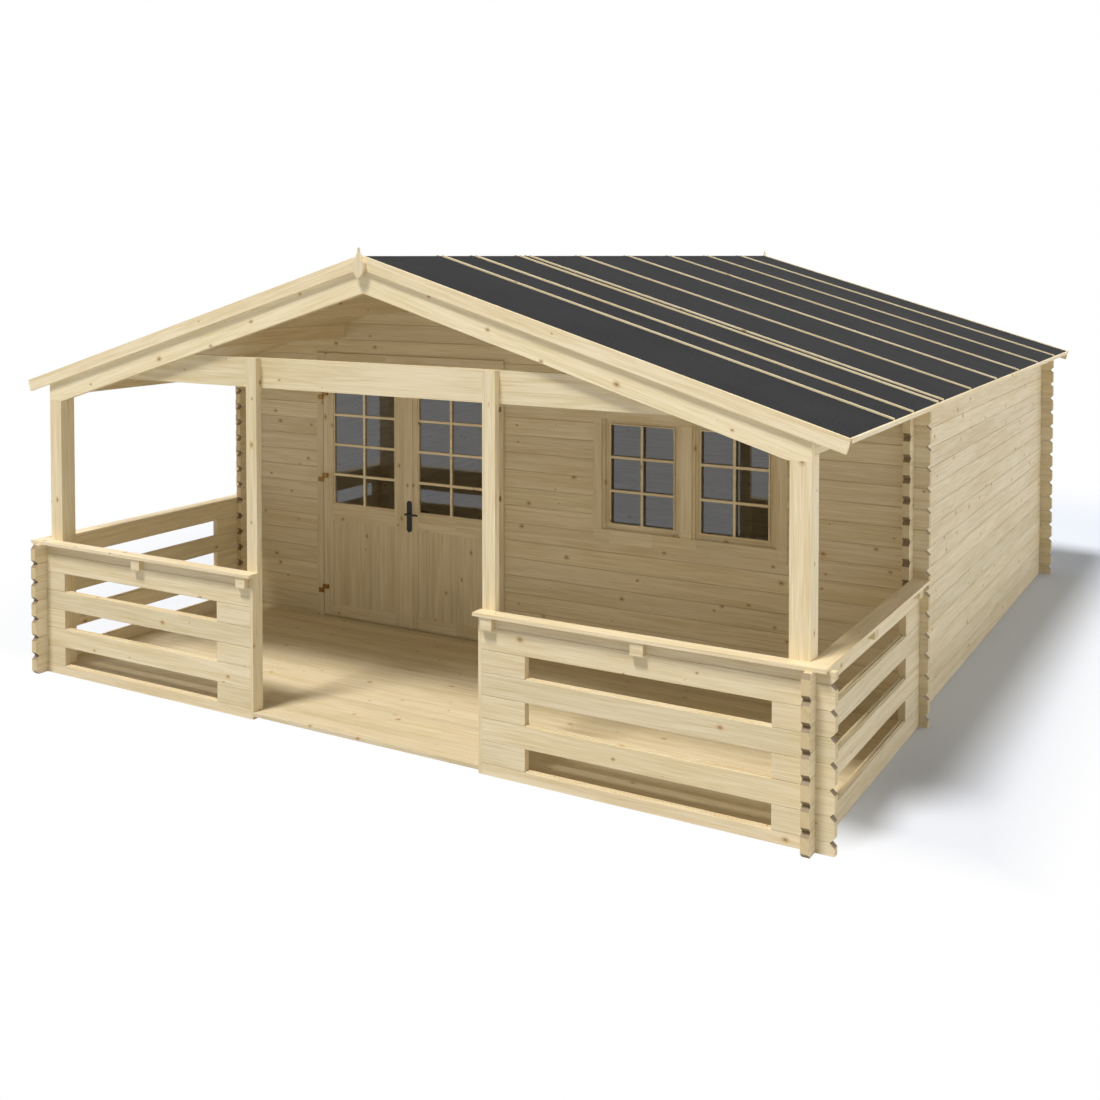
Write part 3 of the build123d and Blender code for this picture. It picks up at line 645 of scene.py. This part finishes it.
class CABIN_OT_window_bars(bpy.types.Operator):
    """Puts glazing bars on both faces of the window panes"""

    bl_idname = "cabin.window_bars"
    bl_label = "Window Bars"

    def execute(self, context):
        sizes = context.scene.cabin_sizes
        low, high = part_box("window_glass")
        edges = planes("window_glass", 0)
        material = spruce("Planed spruce, window bars", "X", ("X", 0.5, 0.2))
        for name, left, right in (("left", edges[0], edges[1]), ("right", edges[2], edges[3])):
            start, end = (left, low.y, low.z), (right, high.y, high.z)
            bars = bars_on_both_faces(
                name + "_window_bars", start, end, sizes.window_rows, sizes, stand=sizes.bar_stand
            )
            finish(bars, material)
            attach(bars, "cabin")
        return {"FINISHED"}


class CABIN_OT_finishes(bpy.types.Operator):
    """Gives every solid of the cabin its finish"""

    bl_idname = "cabin.finishes"
    bl_label = "Finishes"

    def execute(self, context):
        sizes = context.scene.cabin_sizes
        course = sizes.course
        side_logs = spruce("Planed spruce, side logs", "Y", ("Z", course, 0.0))
        cross_logs = spruce("Planed spruce, cross logs", "X", ("Z", course, -course / 2))
        uprights = spruce("Planed spruce, posts", "Z", ("X", 0.4, 0.1), bright=1.07)
        lengthwise = spruce("Planed spruce, purlins and eaves", "Y", ("X", 0.45, 0.2), bright=1.07)
        crosswise = spruce("Planed spruce, beams and bearers", "X", ("Y", 0.3, 0.1), bright=1.07)
        sloping = spruce("Planed spruce, rafters and battens", "slope", ("Y", 0.033, 0.01), bright=1.12)
        chosen = {
            side_logs: ("left_wall", "right_wall"),
            cross_logs: (
                "back_wall",
                "back_gable",
                "front_gable",
                "door_sill_log",
                "front_wall_left",
                "front_wall_middle",
                "front_wall_right",
                "left_front_rail",
                "right_front_rail",
            ),
            uprights: ("rail_end_boards", "corner_posts", "entrance_posts", "finials"),
            lengthwise: ("purlins", "eave_trims"),
            crosswise: ("tie_beam", "floor_bearers", "cap_brackets"),
            sloping: ("front_rafters", "bargeboards", "roof_battens"),
            roofing_felt(): ("left_roof_felt", "right_roof_felt"),
            float_glass(): ("left_door_glass", "right_door_glass", "window_glass"),
            tarnished_brass(): ("left_door_hinges", "right_door_hinges", "hinge_pintles"),
            black_lacquer(): ("door_handles",),
        }
        post_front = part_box("corner_posts")[0].y
        cap_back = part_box("left_rail_caps")[1].y
        run = ("Y", (post_front + cap_back) / 2, (cap_back - post_front) / 2, "Y")
        caps = spruce("Planed spruce, rail caps", "X", ("X", 3.0, 0.0), run, bright=1.08)
        chosen[caps] = ("left_rail_caps", "right_rail_caps")
        for side in ("left", "right"):
            low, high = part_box(side + "_door_glass")
            rails = ("X", (low.x + high.x) / 2, (high.x - low.x) / 2, "X")
            leaf = spruce(f"Planed spruce, {side} door leaf", "Z", ("X", 0.35, low.x), rails)
            chosen[leaf] = (side + "_door",)
        jambs = ("Z", 0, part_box("left_door")[1].z, "Z")
        surround = spruce("Planed spruce, door surround", "X", ("X", 0.7, 0.1), jambs)
        chosen[surround] = ("door_frame", "door_trim")
        low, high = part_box("window_glass")
        stiles = ("Z", (low.z + high.z) / 2, (high.z - low.z) / 2, "Z")
        window = spruce("Planed spruce, window surround", "X", ("X", 0.33, 0.0), stiles)
        chosen[window] = ("window_frame", "window_sashes", "window_trim")
        for material, names in chosen.items():
            for name in names:
                finish(nodes[name], material)
        return {"FINISHED"}


class CABIN_OT_stage(bpy.types.Operator):
    """Sets up the pale floor, the studio light and the camera"""

    bl_idname = "cabin.stage"
    bl_label = "Studio Stage"

    def execute(self, context):
        scene = context.scene
        scene.view_settings.view_transform = "Standard"
        self.floor(scene)
        self.light(scene)
        self.camera(scene)
        return {"FINISHED"}

    def seen(self, tree):
        """1 for what the camera sees directly, in a reflection or through glass."""
        path = add(tree, "LightPath")
        mirrored = path.outputs["Is Glossy Ray"]
        direct = add(tree, "Math", {0: path.outputs["Is Camera Ray"], 1: mirrored}, operation="MAXIMUM")
        through = path.outputs["Is Transmission Ray"]
        return add(tree, "Math", {0: direct.outputs[0], 1: through}, operation="MAXIMUM").outputs[0]

    def floor(self, scene):
        """Pale floor with painted light: seen from the camera it glows white far from the cabin, in front of
        the porch and right of the cabin's shadow.
        """
        bpy.ops.object.select_all(action="DESELECT")
        bpy.ops.mesh.primitive_plane_add(size=120, location=(0, 0, 0))
        ground = bpy.context.object
        ground.name = "studio_floor"
        material = bpy.data.materials.new("Matt studio floor")
        material.use_nodes = True
        tree = material.node_tree
        tree.nodes.clear()
        seen = self.seen(tree)
        pale = opaque(scene.cabin_colours.floor)
        bounce = (0.55, 0.55, 0.55, 1)
        paint = add(tree, "Mix", {0: seen, 6: bounce, 7: pale}, data_type="RGBA").outputs[2]
        matt = add(tree, "BsdfDiffuse", {"Color": paint}).outputs[0]
        white = add(tree, "Emission", {"Color": (1, 1, 1, 1), "Strength": 1.0}).outputs[0]
        place = add(tree, "TexCoord").outputs["Object"]
        # Painted light: the floor glows white by position, far off, in front of the porch and past the edge
        # of the cabin's shadow. Only the shadow beside the cabin stays grey, and the ground under the porch
        # floor's front edge shows white.
        centre = (0.6, 1.6, 0)
        far = add(tree, "VectorMath", {0: place, 1: centre}, operation="DISTANCE").outputs["Value"]
        axes = add(tree, "SeparateXYZ", {0: place}).outputs
        clear = 0.0
        for distance, start, end in ((far, 4.4, 7.0), (axes[1], -2.7, -3.3), (axes[0], 3.3, 4.0)):
            reach = {0: distance, 1: start, 2: end}
            painted_glow = add(tree, "MapRange", reach, interpolation_type="SMOOTHSTEP").outputs[0]
            clear = add(tree, "Math", {0: painted_glow, 1: clear}, operation="MAXIMUM").outputs[0]
        shown = add(tree, "Math", {0: clear, 1: seen}, operation="MULTIPLY").outputs[0]
        mix = add(tree, "MixShader", {0: shown, 1: matt, 2: white}).outputs[0]
        add(tree, "OutputMaterial", {"Surface": mix})
        finish(ground, material)

    def light(self, scene):
        """High soft key light from the front left, with wide low fill from the sides and the back."""
        world = bpy.data.worlds.new("Studio surround")
        scene.world = world
        world.use_nodes = True
        tree = world.node_tree
        tree.nodes.clear()
        way = add(tree, "TexCoord").outputs["Generated"]
        axes = add(tree, "SeparateXYZ", {0: way}).outputs
        front_level, side_level, top_level = 0.27, 2.6, 0.2
        sides = {0: axes[1], 1: -0.8, 2: 0.0, 3: front_level, 4: side_level}
        around = add(tree, "MapRange", sides, interpolation_type="SMOOTHSTEP").outputs[0]
        rise = {0: axes[2], 1: 0.12, 2: 0.5}
        above = add(tree, "MapRange", rise, interpolation_type="SMOOTHSTEP").outputs[0]
        level = add(tree, "Mix", {0: above, 2: around, 3: top_level}).outputs[0]
        lit = add(tree, "Background", {"Color": (1, 1, 1, 1), "Strength": level}).outputs[0]
        white = add(tree, "Background", {"Color": (1, 1, 1, 1), "Strength": 1.0}).outputs[0]
        mix = add(tree, "MixShader", {0: self.seen(tree), 1: lit, 2: white}).outputs[0]
        add(tree, "OutputWorld", {"Surface": mix})
        height, turn = math.radians(63.7), math.radians(19.7)
        outward = math.cos(height)
        aim = Vector((math.sin(turn) * outward, math.cos(turn) * outward, -math.sin(height)))
        bpy.ops.object.light_add(type="SUN", rotation=aim.to_track_quat("-Z", "Y").to_euler())
        lamp = bpy.context.object
        lamp.name = "key_light"
        lamp.data.energy = 3.05
        lamp.data.angle = math.radians(13)
        lamp.data.color = (1.0, 0.97, 0.95)

    def camera(self, scene):
        """Camera at the photograph's place, nearly level with a lens shift."""
        down, turn = 0.0319, 0.5247
        bpy.ops.object.camera_add(location=(4.8728, -9.4632, 2.9411), rotation=(math.pi / 2 - down, 0, turn))
        camera = bpy.context.object
        camera.data.lens = 42.708
        camera.data.sensor_width = 36
        camera.data.shift_y = -0.23
        scene.camera = camera


class CABIN_PT_sidebar(bpy.types.Panel):
    """Lists the cabin's sizes, colours and pieces"""

    bl_idname = "CABIN_PT_sidebar"
    bl_label = "Log Cabin"
    bl_space_type = "VIEW_3D"
    bl_region_type = "UI"
    bl_category = "Cabin"

    def draw(self, context):
        for group in (context.scene.cabin_sizes, context.scene.cabin_colours):
            column = self.layout.column()
            for name in group.__annotations__:
                column.prop(group, name)
        for piece in PIECES:
            self.layout.operator(piece.bl_idname)


PIECES = (
    CABIN_OT_porch_floor,
    CABIN_OT_rail_tongues,
    CABIN_OT_room_floor,
    CABIN_OT_roof_boards,
    CABIN_OT_door_bars,
    CABIN_OT_door_panels,
    CABIN_OT_window_bars,
    CABIN_OT_finishes,
    CABIN_OT_stage,
)
CLASSES = (CabinSizes, CabinColours, *PIECES, CABIN_PT_sidebar)


def register():
    """Adds the classes and the two groups of settings."""
    for item in CLASSES:
        bpy.utils.register_class(item)
    bpy.types.Scene.cabin_sizes = bpy.props.PointerProperty(type=CabinSizes)
    bpy.types.Scene.cabin_colours = bpy.props.PointerProperty(type=CabinColours)


def unregister():
    """Takes the settings and classes away again."""
    del bpy.types.Scene.cabin_colours
    del bpy.types.Scene.cabin_sizes
    for item in reversed(CLASSES):
        bpy.utils.unregister_class(item)


def main():
    """Builds every piece."""
    register()
    bpy.ops.cabin.porch_floor()
    bpy.ops.cabin.rail_tongues()
    bpy.ops.cabin.room_floor()
    bpy.ops.cabin.roof_boards()
    bpy.ops.cabin.door_bars()
    bpy.ops.cabin.door_panels()
    bpy.ops.cabin.window_bars()
    bpy.ops.cabin.finishes()
    bpy.ops.cabin.stage()


if __name__ == "__main__":
    main()
